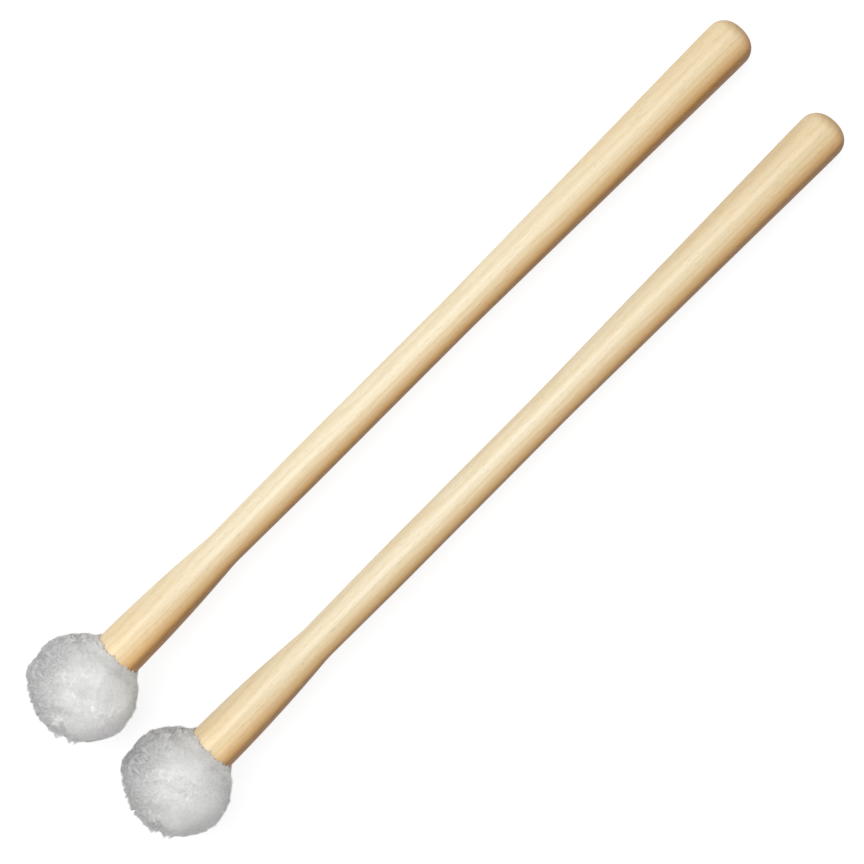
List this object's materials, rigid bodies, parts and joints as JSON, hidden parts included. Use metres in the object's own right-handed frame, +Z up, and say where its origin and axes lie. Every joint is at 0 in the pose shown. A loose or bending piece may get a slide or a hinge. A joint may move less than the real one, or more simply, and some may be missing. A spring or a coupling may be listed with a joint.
{
  "type": "bass drum mallet",
  "caption": "Marching bass drum mallets lying side by side, each a tapered hickory handle with a flared neck and a round fleece-covered felt head for a soft, full stroke.",
  "frame": {"origin": "middle of the pair's footprint on the surface that the mallets lie on", "axes": "+X from the heads towards the butts, along the mallets; +Z up; the right mallet lies at +Y and the left one at -Y"},
  "size_m": [0.3588, 0.0894, 0.0406],
  "materials": {
    "hickory": "turned and sanded hickory under a clear satin lacquer",
    "hard_felt": "hard pressed wool felt",
    "soft_felt": "soft wool felt",
    "fleece": "white fleece with a short, tufted, matt pile",
    "waxed_cord": "waxed thread"
  },
  "bodies": {
    "right_mallet": {"right_handle": "hickory", "right_felt_core": "hard_felt", "right_felt_underlay": "soft_felt", "right_fleece_cover": "fleece", "right_draw_cord": "waxed_cord"},
    "left_mallet": {"left_handle": "hickory", "left_felt_core": "hard_felt", "left_felt_underlay": "soft_felt", "left_fleece_cover": "fleece", "left_draw_cord": "waxed_cord"}
  },
  "joints": [
    {"name": "left_mallet_lift", "type": "slide", "parent": "right_mallet", "child": "left_mallet", "axis": [0, 0, 1], "range_m": [0, 0.06]}
  ]
}
